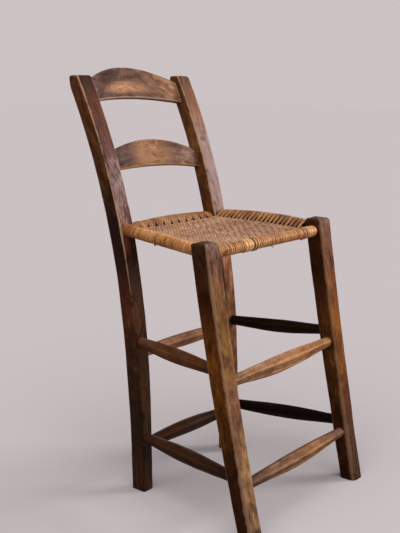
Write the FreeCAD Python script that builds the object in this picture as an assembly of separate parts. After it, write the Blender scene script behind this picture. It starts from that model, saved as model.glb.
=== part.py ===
import FreeCAD, Part
import math
import os
from FreeCAD import Vector

# A tall ladderback chair of hand-worked hardwood with a woven cane seat.
# The chair stands on z = 0, its front looks along -Y, and left and right are as seen
# from the front, so the left side is at -X. All sizes are in millimetres.

# Back posts: upright at the foot, then swept back in one long curve. Each was shaved by
# hand, so the two differ a little. Places are the middles at the foot and at the top.
POST_HEIGHT = 943.5
POSTS = {
    "left": {"foot": (-159.0, 85.5), "top": (-172.5, 252.5), "curve_power": 2.87},
    "right": {"foot": (159.0, 78.5), "top": (169.5, 252.5), "curve_power": 2.76},
}
POST_HALF_WIDTH = 22.0
POST_FOOT_TAPER = 7.0
POST_HALF_DEPTH = 19.5
POST_EDGE_RADIUS = 4.0
POST_CROWN = 5.0
POST_WORN_HEIGHT = 32.0
POST_WORN_DEPTH = 11.0

# Front legs: spread forwards to the foot, with a slight bow across and forwards
LEG_HEIGHT = 614.0
LEGS = {
    "left": {"foot": (-207.5, -263.0), "top": (-219.5, -147.5), "bow": (-3.0, 6.0)},
    "right": {"foot": (201.5, -262.5), "top": (219.5, -138.0), "bow": (-1.0, 3.5)},
}
LEG_FOOT_HALVES = (20.5, 19.5)
LEG_TOP_HALVES = (22.5, 22.0)
LEG_EDGE_RADIUS = 5.0
LEG_CROWN = 7.0

# Crest rail and back slat: arched boards, set back a little in the depth of the posts.
# A fall is how much lower an edge is at its ends, and a tilt is its slope across.
SLAT_THICKNESS = 13.0
SLAT_SET_BACK = 3.5
SLAT_EDGE_RADIUS = 4.5
SLAT_TENON_DEPTH = 20.0
SLAT_TENON_THICKNESS = 9.0
SLAT_TENON_SHOULDER = 6.0
CREST = {"top": (961.5, 33.0, -0.015), "bottom": (890.0, 9.5, -0.027), "bow": 14.0}
BACK_SLAT = {"top": (795.0, 26.0, -0.038), "bottom": (735.0, 8.0, -0.033), "bow": 4.0}

# Seat rails: round bars under the cane, their heights at the left or back end first
RAIL_DIAMETER = 19.0
RAIL_TENON_DIAMETER = 14.0
RAIL_HEIGHTS = {"front": (591.5, 586.0), "back": (601.0, 599.0),
                "left": (609.5, 593.5), "right": (604.0, 591.0)}
RAIL_RISE = {"front": 0.0, "back": 8.0, "left": 0.0, "right": 8.0}

# Cane laid round each seat rail: outer radius at the first end, in the middle, at the last end
WRAP_RADII = {"front": (14.2, 13.5, 13.0), "back": (13.5, 14.0, 13.5),
              "left": (14.0, 14.0, 13.5), "right": (13.5, 14.5, 13.5)}

# Woven seat panel
PANEL_THICKNESS = 9.0
PANEL_BELOW_RAIL = 1.0
PANEL_DISH = 10.0

# Stretchers: thick in the middle, thin at both ends. Half the height and half the depth
# are those of the middle, and a low fullness swells early.
STRETCHER_END_RADIUS = 11.5
STRETCHER_TENON_DIAMETER = 15.0
STRETCHER_HOUSING = 3.0
STRETCHERS = {
    "front_upper": {"heights": (326.5, 326.5), "halves": (20.5, 15.0), "fullness": 1.6, "sag": 4.0},
    "front_lower": {"heights": (112.5, 113.5), "halves": (18.0, 15.0), "fullness": 2.6, "sag": 3.0},
    "back_upper": {"heights": (325.0, 323.0), "halves": (15.5, 14.0), "fullness": 1.6, "sag": -0.5},
    "back_lower": {"heights": (107.0, 103.5), "halves": (17.5, 15.0), "fullness": 1.6, "sag": -1.5},
    "left_upper": {"heights": (356.0, 350.0), "halves": (17.5, 14.5), "fullness": 1.8, "sag": 0.5},
    "left_lower": {"heights": (130.0, 128.0), "halves": (17.5, 14.5), "fullness": 1.8, "sag": 0.5},
    "right_upper": {"heights": (341.0, 349.0), "halves": (16.0, 14.0), "fullness": 1.6, "sag": 2.5},
    "right_lower": {"heights": (123.0, 135.0), "halves": (16.5, 14.0), "fullness": 1.6, "sag": 0.0},
}

# Front and back tenons stop short of the side ones, which cross behind them in each upright
SHORT_TENON = 13.0
LONG_TENON = 20.0

UP = Vector(0, 0, 1)
ACROSS = Vector(1, 0, 0)
BACKWARDS = Vector(0, 1, 0)
SIDES = ("left", "right")


def save(name, shape):
    """Write one sub-part under its own name and say whether it is one sound solid."""
    os.makedirs("parts", exist_ok=True)
    shape.exportStep("parts/" + name + ".step")
    print("%-24s solids %d valid %s volume %.0f"
          % (name, len(shape.Solids), shape.isValid(), shape.Volume))


def blend(start, end, share):
    """The value that lies the given share of the way from start to end."""
    return start + (end - start) * share


def swell(share):
    """Nothing at both ends of a piece and one in its middle."""
    return 4.0 * share * (1.0 - share)


def post_centre(side, z):
    """Middle of a back post at height z."""
    post = POSTS[side]
    share = z / POST_HEIGHT
    x = blend(post["foot"][0], post["top"][0], share)
    return Vector(x, blend(post["foot"][1], post["top"][1], share ** post["curve_power"]), z)


def post_halves(z):
    """Half the width and half the depth of a back post at height z."""
    taper = (1.0 - z / POST_HEIGHT) ** 2.5
    return POST_HALF_WIDTH - POST_FOOT_TAPER * taper, POST_HALF_DEPTH


def leg_centre(side, z):
    """Middle of a front leg at height z."""
    leg = LEGS[side]
    share = z / LEG_HEIGHT
    x, y = (blend(leg["foot"][i], leg["top"][i], share) + leg["bow"][i] * swell(share)
            for i in (0, 1))
    return Vector(x, y, z)


def leg_halves(z):
    """Half the width and half the depth of a front leg at height z."""
    share = z / LEG_HEIGHT
    return tuple(blend(LEG_FOOT_HALVES[i], LEG_TOP_HALVES[i], share) for i in (0, 1))


def rounded_wire(centre, u_axis, v_axis, half_u, half_v, radius):
    """A rounded rectangle about a centre, spanned by two unit axes."""
    near = radius * (1.0 - math.sqrt(0.5))
    arcs = []
    for su, sv in ((1, -1), (1, 1), (-1, 1), (-1, -1)):
        on_end = (su * (half_u - radius), sv * half_v)
        middle = (su * (half_u - near), sv * (half_v - near))
        on_side = (su * half_u, sv * (half_v - radius))
        points = (on_end, middle, on_side) if su * sv < 0 else (on_side, middle, on_end)
        arcs.append([centre + u_axis * u + v_axis * v for u, v in points])
    edges = []
    for arc, following in zip(arcs, arcs[1:] + arcs[:1]):
        edges.append(Part.Arc(*arc).toShape())
        edges.append(Part.LineSegment(arc[2], following[0]).toShape())
    return Part.Wire(edges)


def upright(section, levels, height, crown):
    """A leg or post through level sections, with its top edges worn round."""
    body = Part.makeLoft([section(z, 0.0) for z in levels], True, False)
    cap = Part.makeLoft([section(levels[-1], 0.0),
                         section(height - 0.35 * crown, 0.35 * crown),
                         section(height, crown)], True, True)
    return body.fuse(cap).removeSplitter()


def make_post(side):
    """A back post, its back worn away over the last stretch below the top."""
    worn_from = POST_HEIGHT - POST_WORN_HEIGHT

    def section(z, inset):
        half_width, half_depth = post_halves(z)
        worn = POST_WORN_DEPTH * max(0.0, (z - worn_from) / POST_WORN_HEIGHT) ** 1.6
        centre = post_centre(side, z) - BACKWARDS * (0.5 * worn)
        return rounded_wire(centre, ACROSS, BACKWARDS, half_width - inset,
                            half_depth - 0.5 * worn - inset, POST_EDGE_RADIUS)

    body_height = POST_HEIGHT - POST_CROWN
    levels = [worn_from * i / 8.0 for i in range(9)]
    levels += [blend(worn_from, body_height, share) for share in (0.5, 1.0)]
    return upright(section, levels, POST_HEIGHT, POST_CROWN)


def make_leg(side):
    """A front leg."""

    def section(z, inset):
        half_width, half_depth = leg_halves(z)
        return rounded_wire(leg_centre(side, z), ACROSS, BACKWARDS, half_width - inset,
                            half_depth - inset, LEG_EDGE_RADIUS)

    levels = [(LEG_HEIGHT - LEG_CROWN) * i / 4.0 for i in range(5)]
    return upright(section, levels, LEG_HEIGHT, LEG_CROWN)


def between_posts(share, z):
    """A point at height z whose share runs from -1 at the left post to 1 at the right one."""
    return blend(post_centre("left", z), post_centre("right", z), 0.5 * (share + 1.0))


def rake_at(z):
    """Unit vector up along the back posts at height z, seen from the side."""
    lift = between_posts(0.0, z + 5.0) - between_posts(0.0, z - 5.0)
    return Vector(0, lift.y, lift.z).normalize()


def edge_height(edge, x, face):
    """Height of the top or bottom edge of a back board, at x from its middle."""
    middle, fall, tilt = edge
    return middle - fall * (x / face) ** 2 + tilt * x


def slat_section(board, x, spans, inset, thickness, radius):
    """Section of an arched back board at x, upright and square to its rake."""
    half_span, face = spans
    top = edge_height(board["top"], x, face) - inset
    bottom = edge_height(board["bottom"], x, face) + inset
    middle = 0.5 * (top + bottom)
    rake = rake_at(middle)
    normal = ACROSS.cross(rake)
    bow = board["bow"] * (1.0 - (x / face) ** 2)
    centre = between_posts(x / half_span, middle) + BACKWARDS * (SLAT_SET_BACK + bow)
    return rounded_wire(centre, normal * -1.0, rake, 0.5 * thickness,
                        0.5 * (top - bottom) / rake.z, radius)


def make_slat(board):
    """An arched board between the back posts, with a tenon at each end."""
    z = 0.5 * (board["top"][0] + board["bottom"][0])
    half_span = 0.5 * (post_centre("right", z).x - post_centre("left", z).x)
    face = half_span - post_halves(z)[0]
    spans = (half_span, face)
    reach = face + 2.0
    slat = Part.makeLoft([slat_section(board, reach * (i / 4.0 - 1.0), spans, 0.0,
                                       SLAT_THICKNESS, SLAT_EDGE_RADIUS)
                          for i in range(9)], True, False)
    for sign in (-1.0, 1.0):
        wires = [slat_section(board, sign * x, spans, SLAT_TENON_SHOULDER,
                              SLAT_TENON_THICKNESS, 2.0)
                 for x in (face - 4.0, face + SLAT_TENON_DEPTH)]
        slat = slat.fuse(Part.makeLoft(wires, True, True))
    return slat


def bar_ends(place, heights):
    """Middles of the two uprights that a bar joins, the left or back one first."""
    if place == "front":
        return leg_centre("left", heights[0]), leg_centre("right", heights[1])
    if place == "back":
        return post_centre("left", heights[0]), post_centre("right", heights[1])
    return post_centre(place, heights[0]), leg_centre(place, heights[1])


def end_faces(place, heights):
    """Distances from those middles to the faces that the bar enters."""
    halves = (leg_halves(heights[0]) if place == "front" else post_halves(heights[0]),
              post_halves(heights[1]) if place == "back" else leg_halves(heights[1]))
    axis = 1 if place in SIDES else 0
    return halves[0][axis], halves[1][axis]


def tenon_depth(place):
    """How far a round tenon goes into an upright."""
    return LONG_TENON if place in SIDES else SHORT_TENON


def bowed(start, end, rise, share):
    """A point along a bar whose middle stands higher than its ends."""
    return blend(start, end, share) + UP * (rise * swell(share))


def add_tenons(bar, points, along, diameter, length):
    """Fuse a round tenon to each end of a bar, a little into the bar so that they merge."""
    overlap = 2.0
    for point, direction in zip(points, (along * -1.0, along)):
        tenon = Part.makeCylinder(0.5 * diameter, length + overlap,
                                  point - direction * overlap, direction)
        bar = bar.fuse(tenon)
    return bar.removeSplitter()


def make_rail(place):
    """A round seat rail with a thinner tenon at each end."""
    start, end = bar_ends(place, RAIL_HEIGHTS[place])
    near, far = end_faces(place, RAIL_HEIGHTS[place])
    length = (end - start).Length
    along = (end - start).normalize()
    shares = [blend(near / length, 1.0 - far / length, i / 6.0) for i in range(7)]
    centres = [bowed(start, end, RAIL_RISE[place], share) for share in shares]
    rail = Part.makeLoft([Part.Wire(Part.makeCircle(0.5 * RAIL_DIAMETER, centre, along))
                          for centre in centres], True, False)
    return add_tenons(rail, (centres[0], centres[-1]), along, RAIL_TENON_DIAMETER,
                      tenon_depth(place))


def make_wrap(place):
    """The cane laid round one seat rail, up to the uprights."""
    start, end = bar_ends(place, RAIL_HEIGHTS[place])
    first, middle, last = WRAP_RADII[place]
    along = (end - start).normalize()
    wires = []
    for i in range(7):
        share = i / 6.0
        radius = blend(first, last, share) + swell(share) * (middle - 0.5 * (first + last))
        centre = bowed(start, end, RAIL_RISE[place], share)
        wires.append(Part.Wire(Part.makeCircle(radius, centre, along)))
    return Part.makeLoft(wires, True, False)


def sagging_edge(start, middle, end):
    """A parabola through three points, the second one halfway."""
    curve = Part.BezierCurve()
    curve.setPoles([start, middle * 2.0 - (start + end) * 0.5, end])
    return curve.toShape()


def panel_section(share):
    """Section of the seat weave across the chair, from the back rail to the front one."""
    edges = {}
    for side in SIDES:
        start, end = bar_ends(side, RAIL_HEIGHTS[side])
        edges[side] = bowed(start, end, RAIL_RISE[side], share)
    back = bowed(*bar_ends("back", RAIL_HEIGHTS["back"]), RAIL_RISE["back"], 0.5)
    front = bowed(*bar_ends("front", RAIL_HEIGHTS["front"]), RAIL_RISE["front"], 0.5)
    middle = (edges["left"] + edges["right"]) * 0.5
    middle.z = blend(back.z, front.z, share) - PANEL_DISH * swell(share)
    tops = [point - UP * PANEL_BELOW_RAIL for point in (edges["left"], middle, edges["right"])]
    bottoms = [point - UP * PANEL_THICKNESS for point in tops]
    return Part.Wire([sagging_edge(*tops),
                      Part.LineSegment(tops[2], bottoms[2]).toShape(),
                      sagging_edge(*reversed(bottoms)),
                      Part.LineSegment(bottoms[0], tops[0]).toShape()])


def make_panel():
    """The dished sheet of weave between the four rails."""
    return Part.makeLoft([panel_section(i / 6.0) for i in range(7)], True, False)


def oval_wire(centre, along, half_height, half_depth):
    """An upright oval about a centre, square to a direction."""
    across = along.cross(UP).normalize()
    rise = across.cross(along).normalize()
    oval = Part.Ellipse(centre + rise * half_height, centre + across * half_depth, centre)
    return Part.Wire(oval.toShape())


def make_stretcher(place, stretcher):
    """A stretcher shaved thick in the middle, let into the uprights at both ends."""
    start, end = bar_ends(place, stretcher["heights"])
    near, far = end_faces(place, stretcher["heights"])
    length = (end - start).Length
    along = (end - start).normalize()
    first = (near - STRETCHER_HOUSING) / length
    last = 1.0 - (far - STRETCHER_HOUSING) / length
    wires = []
    for i in range(13):
        fat = swell(i / 12.0) ** stretcher["fullness"]
        centre = blend(start, end, blend(first, last, i / 12.0)) - UP * (stretcher["sag"] * fat)
        half_height, half_depth = (blend(STRETCHER_END_RADIUS, half, fat)
                                   for half in stretcher["halves"])
        wires.append(oval_wire(centre, along, half_height + 0.2, half_depth))
    bar = Part.makeLoft(wires, True, False)
    points = (blend(start, end, first), blend(start, end, last))
    return add_tenons(bar, points, along, STRETCHER_TENON_DIAMETER,
                      tenon_depth(place) - STRETCHER_HOUSING)


def main():
    """Make the uprights, let every bar and board into them, and write each piece."""
    uprights = {}
    for side in SIDES:
        uprights["back_post_" + side] = make_post(side)
        uprights["front_leg_" + side] = make_leg(side)

    bars = {"crest_rail": make_slat(CREST), "back_slat": make_slat(BACK_SLAT)}
    for place in RAIL_HEIGHTS:
        bars["seat_rail_" + place] = make_rail(place)
    for name, stretcher in STRETCHERS.items():
        bars["stretcher_" + name] = make_stretcher(name.split("_")[0], stretcher)

    cane = {}
    for place in WRAP_RADII:
        wrap = make_wrap(place)
        for piece in uprights.values():
            wrap = wrap.cut(piece)
        cane["cane_wrap_" + place] = wrap.cut(bars["seat_rail_" + place])
    panel = make_panel()
    for place in WRAP_RADII:
        panel = panel.cut(make_wrap(place))
    for piece in uprights.values():
        panel = panel.cut(piece)
    cane["woven_seat"] = max(panel.Solids, key=lambda solid: solid.Volume)

    for name in uprights:
        for bar in bars.values():
            uprights[name] = uprights[name].cut(bar)

    for group in (uprights, bars, cane):
        for name, shape in group.items():
            save(name, shape)


main()
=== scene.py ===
import math

import bpy
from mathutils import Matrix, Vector, noise


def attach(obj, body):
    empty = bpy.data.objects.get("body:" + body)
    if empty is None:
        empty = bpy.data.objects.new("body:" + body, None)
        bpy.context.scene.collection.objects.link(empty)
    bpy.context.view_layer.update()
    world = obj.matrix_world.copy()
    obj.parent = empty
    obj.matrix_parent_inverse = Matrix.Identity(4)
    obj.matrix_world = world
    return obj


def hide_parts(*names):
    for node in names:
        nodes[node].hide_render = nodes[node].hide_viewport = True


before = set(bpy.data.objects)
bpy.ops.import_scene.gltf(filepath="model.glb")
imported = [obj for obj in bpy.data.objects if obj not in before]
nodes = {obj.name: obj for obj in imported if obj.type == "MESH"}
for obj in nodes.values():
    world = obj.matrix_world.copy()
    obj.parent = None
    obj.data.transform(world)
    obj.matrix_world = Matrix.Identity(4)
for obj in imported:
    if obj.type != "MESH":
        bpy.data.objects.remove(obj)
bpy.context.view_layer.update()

# The camera stands at breast height, to the left of the chair's front, and tilts down so
# far that the nearest foot just leaves the picture.
camera_place = (-1.643, -1.2849, 0.9293)
camera_turn = math.radians(-51.07)
camera_tilt = math.radians(11.29)
camera_lens = 62.47
camera_film_width = 36.0

bpy.ops.object.camera_add(location=camera_place,
                          rotation=(math.pi / 2 - camera_tilt, 0.0, camera_turn))
camera = bpy.context.object
camera.data.sensor_width = camera_film_width
camera.data.lens = camera_lens
bpy.context.scene.camera = camera
bpy.context.scene.view_settings.view_transform = "Standard"

# The studio: a plain floor that runs out into an even pale backdrop, a soft window light to
# the right of the front, a wide weaker one overhead and a little from all round.
backdrop_tone = (0.60, 0.54, 0.55, 1.0)
floor_tone = (0.615, 0.567, 0.584, 1.0)
floor_bounce_tone = (0.30, 0.22, 0.17, 1.0)
floor_size = 60.0
lamp_distance = 3.0
sky_strength = 0.20


def seen_directly(tree):
    """One for what the camera sees, itself or in a reflection or through glass."""
    paths = tree.nodes.new("ShaderNodeLightPath")
    total = paths.outputs["Is Camera Ray"]
    for kind in ("Is Glossy Ray", "Is Transmission Ray"):
        either = tree.nodes.new("ShaderNodeMath")
        either.operation = "MAXIMUM"
        tree.links.new(total, either.inputs[0])
        tree.links.new(paths.outputs[kind], either.inputs[1])
        total = either.outputs[0]
    return total


def choose(tree, unseen, seen, surface):
    """Lights the chair with one shader and shows another to the camera."""
    chooser = tree.nodes.new("ShaderNodeMixShader")
    tree.links.new(seen_directly(tree), chooser.inputs[0])
    tree.links.new(unseen.outputs[0], chooser.inputs[1])
    tree.links.new(seen.outputs[0], chooser.inputs[2])
    tree.links.new(chooser.outputs[0], surface)


bpy.ops.mesh.primitive_plane_add(size=floor_size)
floor = bpy.context.object
floor.name = "floor"
floor_paint = bpy.data.materials.new("pale_floor")
floor_paint.use_nodes = True
floor_nodes = floor_paint.node_tree.nodes
floor_shader = floor_nodes["Principled BSDF"]
floor_shader.inputs["Base Color"].default_value = floor_tone
floor_shader.inputs["Roughness"].default_value = 0.9
floor_shader.inputs["Specular IOR Level"].default_value = 0.0
floor_bounce = floor_nodes.new("ShaderNodeBsdfDiffuse")
floor_bounce.inputs["Color"].default_value = floor_bounce_tone
choose(floor_paint.node_tree, floor_bounce, floor_shader,
       floor_nodes["Material Output"].inputs["Surface"])
floor.data.materials.append(floor_paint)


def soft_light(name, azimuth, elevation, spread, strength, tone):
    """A wide distant light. Azimuth 0 is in front of the chair and 90 to its right."""
    turn, lift = math.radians(azimuth), math.radians(elevation)
    towards = Vector((math.sin(turn) * math.cos(lift), -math.cos(turn) * math.cos(lift),
                      math.sin(lift)))
    bpy.ops.object.light_add(type="SUN", location=towards * lamp_distance,
                             rotation=towards.to_track_quat("Z", "Y").to_euler())
    light = bpy.context.object
    light.name = name
    light.data.angle = math.radians(spread)
    light.data.energy = strength
    light.data.color = tone


soft_light("window", azimuth=50.0, elevation=17.0, spread=26.0, strength=2.6,
           tone=(1.0, 0.98, 0.975))
soft_light("overhead", azimuth=-55.0, elevation=60.0, spread=80.0, strength=2.2,
           tone=(1.0, 0.98, 0.97))

world = bpy.data.worlds.new("studio")
bpy.context.scene.world = world
world.use_nodes = True
sky = world.node_tree.nodes
sky_light = sky["Background"]
sky_light.inputs["Color"].default_value = backdrop_tone
sky_light.inputs["Strength"].default_value = sky_strength
backdrop = sky.new("ShaderNodeBackground")
backdrop.inputs["Color"].default_value = backdrop_tone
choose(world.node_tree, sky_light, backdrop, sky["World Output"].inputs["Surface"])


# Back posts: two lengths of beech, shaved square and swept back towards the top. Hands and
# wax have left the fronts mid brown and glossy, with a painted lilac grey sheen; the sides are
# darker, partly their own tone and partly painted shade; the corners are pale, partly worn and
# partly a painted highlight.
post_height = 0.9435
post_feet = {"left": (-0.159, 0.0855), "right": (0.159, 0.0785)}
post_tops = {"left": (-0.1725, 0.2525), "right": (0.1695, 0.2525)}
post_curves = {"left": 2.87, "right": 2.76}
post_half_width = 0.022
post_foot_taper = 0.007
post_taper_power = 2.5
post_half_depth = 0.0195
post_corner = 0.005
post_crown = 0.005
post_worn_height = 0.032
post_worn_depth = 0.011
post_worn_power = 1.6
post_step = 0.005
post_wave = 0.0009


def post_middle(side, z):
    """Middle of a back post at height z."""
    share = max(0.0, z / post_height)
    foot, top = post_feet[side], post_tops[side]
    sweep = share ** post_curves[side]
    return Vector((foot[0] + (top[0] - foot[0]) * share, foot[1] + (top[1] - foot[1]) * sweep, z))


def post_halves(z):
    """Half the width and half the depth of a back post at height z."""
    share = max(0.0, 1.0 - z / post_height)
    return post_half_width - post_foot_taper * share ** post_taper_power, post_half_depth


def squared(half_u, half_v, corners, per_corner=6, per_face=4):
    """Outline of a squared timber, counter-clockwise: (u, v, normal u, normal v, nearness
    to a corner). The corners' radii start at +u +v."""
    outline = []
    quarters = ((1, 1, 0.0), (-1, 1, 0.5), (-1, -1, 1.0), (1, -1, 1.5))
    for (su, sv, start), radius in zip(quarters, corners):
        for i in range(per_corner + 1):
            turn = math.pi * (start + 0.5 * i / per_corner)
            out_u, out_v = math.cos(turn), math.sin(turn)
            outline.append((su * (half_u - radius) + radius * out_u,
                            sv * (half_v - radius) + radius * out_v,
                            out_u, out_v, abs(math.sin(2.0 * turn))))
    full = []
    for i, point in enumerate(outline):
        full.append(point)
        if i % (per_corner + 1) == per_corner:
            following = outline[(i + 1) % len(outline)]
            for j in range(1, per_face):
                share = j / per_face
                full.append((point[0] + (following[0] - point[0]) * share,
                             point[1] + (following[1] - point[1]) * share,
                             point[2], point[3], 0.0))
    return full


def rolled(name, rings):
    """A closed bar made of a sheet rolled up. A ring is (middle, u axis, v axis, outline,
    spread, distance along), and the first and last ones have no spread."""
    around = len(rings[0][3])
    bpy.ops.object.select_all(action="DESELECT")
    bpy.ops.mesh.primitive_grid_add(x_subdivisions=len(rings) - 1, y_subdivisions=around, size=1.0)
    bar = bpy.context.object
    bar.name = name
    mesh = bar.data
    timber = mesh.attributes.new("timber", "FLOAT_VECTOR", "POINT")
    facing = mesh.attributes.new("facing", "FLOAT_VECTOR", "POINT")
    for vertex in mesh.vertices:
        i = round((vertex.co.x + 0.5) * (len(rings) - 1))
        j = round((vertex.co.y + 0.5) * around) % around
        middle, u_axis, v_axis, outline, spread, along = rings[i]
        u, v, out_u, out_v, near = outline[j]
        vertex.co = middle + (u_axis * u + v_axis * v) * spread
        timber.data[vertex.index].vector = (u * spread, v * spread, along)
        facing.data[vertex.index].vector = (out_u, out_v, near)
    bpy.ops.object.mode_set(mode="EDIT")
    bpy.ops.mesh.select_all(action="SELECT")
    bpy.ops.mesh.remove_doubles(threshold=1e-6)
    bpy.ops.mesh.normals_make_consistent(inside=False)
    bpy.ops.object.mode_set(mode="OBJECT")
    bpy.ops.object.shade_smooth()
    return bar


wave_across, wave_along = 45.0, 9.0
dent_across, dent_along, dent_share = 130.0, 38.0, 0.35


def hand_worked(bar, depth, seed):
    """Leaves the long shallow waves and small dents of hand work in a bar's surface."""
    mesh = bar.data
    timber = mesh.attributes["timber"].data
    normals = [vertex.normal.copy() for vertex in mesh.vertices]
    for vertex, normal in zip(mesh.vertices, normals):
        u, v, along = timber[vertex.index].vector
        wave = noise.noise(Vector((u * wave_across + seed, v * wave_across, along * wave_along)))
        dent = noise.noise(Vector((u * dent_across, v * dent_across + seed, along * dent_along)))
        vertex.co += normal * depth * (wave + dent_share * dent)
    mesh.update()


def upright_rings(middle_at, halves_at, corners_at, height, crown, step):
    """Rings of an upright timber: a worn foot edge, level sections and a rounded top."""
    foot_wear, foot_rise, foot_inset = 0.0015, 0.4, 0.3
    crown_steps, least_corner = 5, 0.001
    dome_edge, dome_top, dome_share = 0.0004, 0.0006, 0.6
    body = height - crown
    levels = [(0.0, foot_wear, 0.0), (0.0, foot_wear, 0.5), (0.0, foot_wear, 1.0),
              (foot_rise * foot_wear, foot_inset * foot_wear, 1.0)]
    count = int(body / step)
    levels += [(foot_wear + (body - foot_wear) * i / count, 0.0, 1.0) for i in range(count + 1)]
    for i in range(1, crown_steps + 1):
        turn = 0.5 * math.pi * i / crown_steps
        levels.append((body + crown * math.sin(turn), crown * (1.0 - math.cos(turn)), 1.0))
    levels += [(height + dome_edge, crown, dome_share), (height + dome_top, crown, 0.0)]
    rings = []
    for z, inset, spread in levels:
        half_u, half_v = halves_at(z)
        corners = [max(least_corner, radius - 0.5 * inset) for radius in corners_at(z)]
        outline = squared(half_u - inset, half_v - inset, corners)
        rings.append((middle_at(z), Vector((1, 0, 0)), Vector((0, 1, 0)), outline, spread, z))
    return rings


class Shade:
    """A number, place or colour inside a finish. Arithmetic on it adds Math nodes."""

    def __init__(self, finish, socket):
        self.finish = finish
        self.socket = socket

    def __add__(self, other):
        return self.finish.sum("ADD", self, other)

    def __sub__(self, other):
        return self.finish.sum("SUBTRACT", self, other)

    def __rsub__(self, other):
        return self.finish.sum("SUBTRACT", other, self)

    def __mul__(self, other):
        return self.finish.sum("MULTIPLY", self, other)

    __radd__ = __add__
    __rmul__ = __mul__


class Finish:
    """The finish of a piece, built up node by node."""

    def __init__(self, name, **shader_values):
        self.material = bpy.data.materials.new(name)
        self.material.use_nodes = True
        self.tree = self.material.node_tree
        self.shader = self.tree.nodes["Principled BSDF"]
        for key, value in shader_values.items():
            self.shader.inputs[key.replace("_", " ")].default_value = value

    def put(self, socket, value):
        """Links a shade to a socket, or sets the socket's own value."""
        if isinstance(value, Shade):
            self.tree.links.new(value.socket, socket)
        else:
            socket.default_value = value

    def node(self, kind, settings, sockets, output=0):
        """Adds a node with its settings, then its sockets, and gives one output."""
        made = self.tree.nodes.new("ShaderNode" + kind)
        stops = settings.pop("stops", ())
        for key, value in settings.items():
            setattr(made, key, value)
        for i, (position, colour) in enumerate(stops):
            elements = made.color_ramp.elements
            stop = elements[i] if i < 2 else elements.new(position)
            stop.position = position
            stop.color = (*colour, 1.0)
        for key, value in sockets.items():
            self.put(made.inputs[key], value)
        return Shade(self, made.outputs[output])

    def sum(self, operation, first, second):
        """Arithmetic on two numbers."""
        return self.node("Math", {"operation": operation}, {0: first, 1: second})

    def rise(self, value, start, end):
        """Nothing up to start, one from end on, and a soft slope between."""
        return self.node("MapRange", {"interpolation_type": "SMOOTHSTEP"},
                         {"Value": value, "From Min": start, "From Max": end})

    def mix(self, share, first, second, how="MIX"):
        """Two colours mixed."""
        first, second = ((*c, 1.0) if isinstance(c, tuple) else c for c in (first, second))
        return self.node("Mix", {"data_type": "RGBA", "blend_type": how},
                         {0: share, 6: first, 7: second}, output=2)

    def grain(self, place, scale, detail=3.0, roughness=0.55, distortion=0.0):
        """Noise stretched by a different scale along each axis, in lumps per metre."""
        spread = self.node("VectorMath", {"operation": "MULTIPLY"}, {0: place, 1: scale})
        return self.node("TexNoise", {}, {"Vector": spread, "Scale": 1.0, "Detail": detail,
                                          "Roughness": roughness, "Distortion": distortion})

    def attribute(self, name, output=1):
        """A value that the mesh carries: 1 gives it as a place, 2 as a number."""
        return self.node("Attribute", {"attribute_name": name}, {}, output)

    def axis(self, place, which):
        """One coordinate of a place."""
        return self.node("SeparateXYZ", {}, {0: place}, "XYZ".index(which))

    def bump(self, height, distance, under=None):
        """Relief in metres on top of an earlier relief."""
        sockets = {"Height": height, "Distance": distance}
        if under is not None:
            sockets["Normal"] = under
        return self.node("Bump", {}, sockets)


def tone_stops(tones, length):
    """Ramp stops from a list of (distance along in metres, colour)."""
    return [(distance / length, colour) for distance, colour in tones]


def shades(*pairs):
    """Ramp stops of greys from (position, value) pairs."""
    return [(position, (value, value, value)) for position, value in pairs]


# A pale tone for the corners: partly worn wood and partly a painted highlight along them.
worn_and_highlight_tone = (0.52, 0.33, 0.22)
# A lilac grey tone for a painted sheen on the fronts of the wood.
painted_sheen_tone = (0.36, 0.235, 0.215)
hole_tone = (0.010, 0.004, 0.002)

# Lumps per metre across and along the grain, their tints, and their depths in the surface.
cloud_lumps = (30.0, 30.0, 16.0)
blotch_lumps = (85.0, 85.0, 36.0)
speck_lumps = (330.0, 330.0, 95.0)
streak_lumps = (420.0, 420.0, 11.0)
crack_lumps = (300.0, 300.0, 7.0)
hole_lumps = (34.0, 34.0, 34.0)
# Facet lumps and tints: painted light and shade that gives each facet of a shaved bar a lighter or
# darker tone by the way it faces.
facet_shade_lumps = (2.6, 2.6, 0.0)
cloud_tints = [(0.34, (0.55, 0.47, 0.43)), (0.50, (1.0, 1.0, 1.0)), (0.66, (1.40, 1.48, 1.44))]
blotch_tints = [(0.28, (0.42, 0.34, 0.30)), (0.42, (0.86, 0.84, 0.83)),
                (0.56, (1.08, 1.10, 1.10)), (0.72, (1.55, 1.64, 1.60))]
speck_tints = [(0.30, (0.58, 0.55, 0.53)), (0.48, (1.0, 1.0, 1.0)), (0.72, (1.35, 1.38, 1.40))]
streak_tints = [(0.30, (0.86, 0.84, 0.83)), (0.52, (1.0, 1.0, 1.0)), (0.74, (1.09, 1.09, 1.09))]
facet_shade_tints = shades((0.36, 0.66), (0.50, 1.0), (0.64, 1.34))
blotch_depth, speck_depth, streak_depth = 0.0012, 0.0005, 0.0004


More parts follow.
